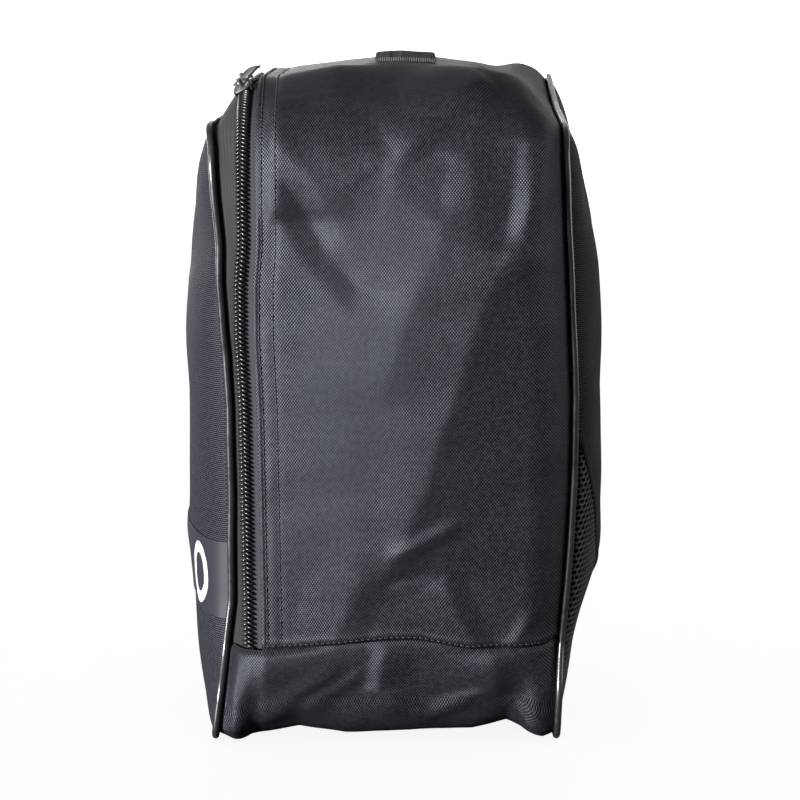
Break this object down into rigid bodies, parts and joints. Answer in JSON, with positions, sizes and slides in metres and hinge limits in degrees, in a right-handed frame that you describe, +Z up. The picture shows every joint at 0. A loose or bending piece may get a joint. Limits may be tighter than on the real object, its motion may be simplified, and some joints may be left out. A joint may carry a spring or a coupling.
{
  "type": "shoe bag",
  "caption": "Upright soft shoe bag with a wrap-round zip door in one side, a mesh vent in the other, piped seams, a webbing handle on top and a flat base.",
  "frame": {"origin": "middle of the base, at floor level", "axes": "+Z up; -Y is the front end, with the zip beside its left edge; -X is the side that opens as a door, +X the vented side"},
  "size_m": [0.2146, 0.21, 0.3318],
  "materials": {
    "coarse_weave": "coarse plain-weave polyester, matt",
    "fine_weave": "fine plain-weave polyester, matt",
    "spacer_mesh": "knitted spacer mesh with open holes",
    "piping_vinyl": "glossy black vinyl over cord",
    "binding_tape": "plain woven binding tape",
    "zip_tape": "herringbone woven zip tape",
    "zip_coil": "moulded nylon coil, satin",
    "slider_metal": "enamelled zinc, worn at its edges",
    "pull_metal": "enamelled zinc, satin",
    "label_satin": "woven satin label",
    "webbing": "ribbed polyester webbing",
    "backing": "non-woven reinforcement"
  },
  "bodies": {
    "bag": {"gusset_panel": "coarse_weave", "base_gusset": "coarse_weave", "right_side_panel": "fine_weave", "right_vent_mesh": "spacer_mesh", "right_piping": "piping_vinyl", "right_seam_binding": "binding_tape", "left_side_panel_base": "fine_weave", "left_piping_base": "piping_vinyl", "left_seam_binding_base": "binding_tape", "zip_tape_inner": "zip_tape", "zip_coil_inner": "zip_coil", "handle_webbing": "webbing", "handle_backing_front": "backing", "handle_backing_rear": "backing"},
    "door": {"left_side_panel": "fine_weave", "left_piping": "piping_vinyl", "left_seam_binding": "binding_tape", "zip_tape_outer": "zip_tape", "zip_coil_outer": "zip_coil", "label_band": "label_satin"},
    "front_slider": {"slider_front": "slider_metal"},
    "front_pull": {"pull_front": "pull_metal"},
    "rear_slider": {"slider_rear": "slider_metal"},
    "rear_pull": {"pull_rear": "pull_metal"}
  },
  "joints": [
    {"name": "door_fold", "type": "hinge", "parent": "bag", "child": "door", "pos_m": [-0.107, 0, 0.053], "axis": [0, -1, 0], "range_deg": [0, 95]},
    {"name": "front_slider_corner", "type": "hinge", "parent": "bag", "child": "front_slider", "pos_m": [-0.0679, -0.055, 0.274], "axis": [1, 0, 0], "range_deg": [0, 72]},
    {"name": "rear_slider_travel", "type": "slide", "parent": "bag", "child": "rear_slider", "axis": [0, 1, 0], "range_m": [0, 0.098]},
    {"name": "front_pull_swing", "type": "hinge", "parent": "front_slider", "child": "front_pull", "pos_m": [-0.07001, -0.07011, 0.32051], "axis": [0.7481, -0.6104, 0.2605], "range_deg": [0, 150]},
    {"name": "rear_pull_swing", "type": "hinge", "parent": "rear_slider", "child": "rear_pull", "pos_m": [-0.07001, -0.0495, 0.32291], "axis": [0.7481, -0.5, 0.4364], "range_deg": [0, 150]}
  ]
}
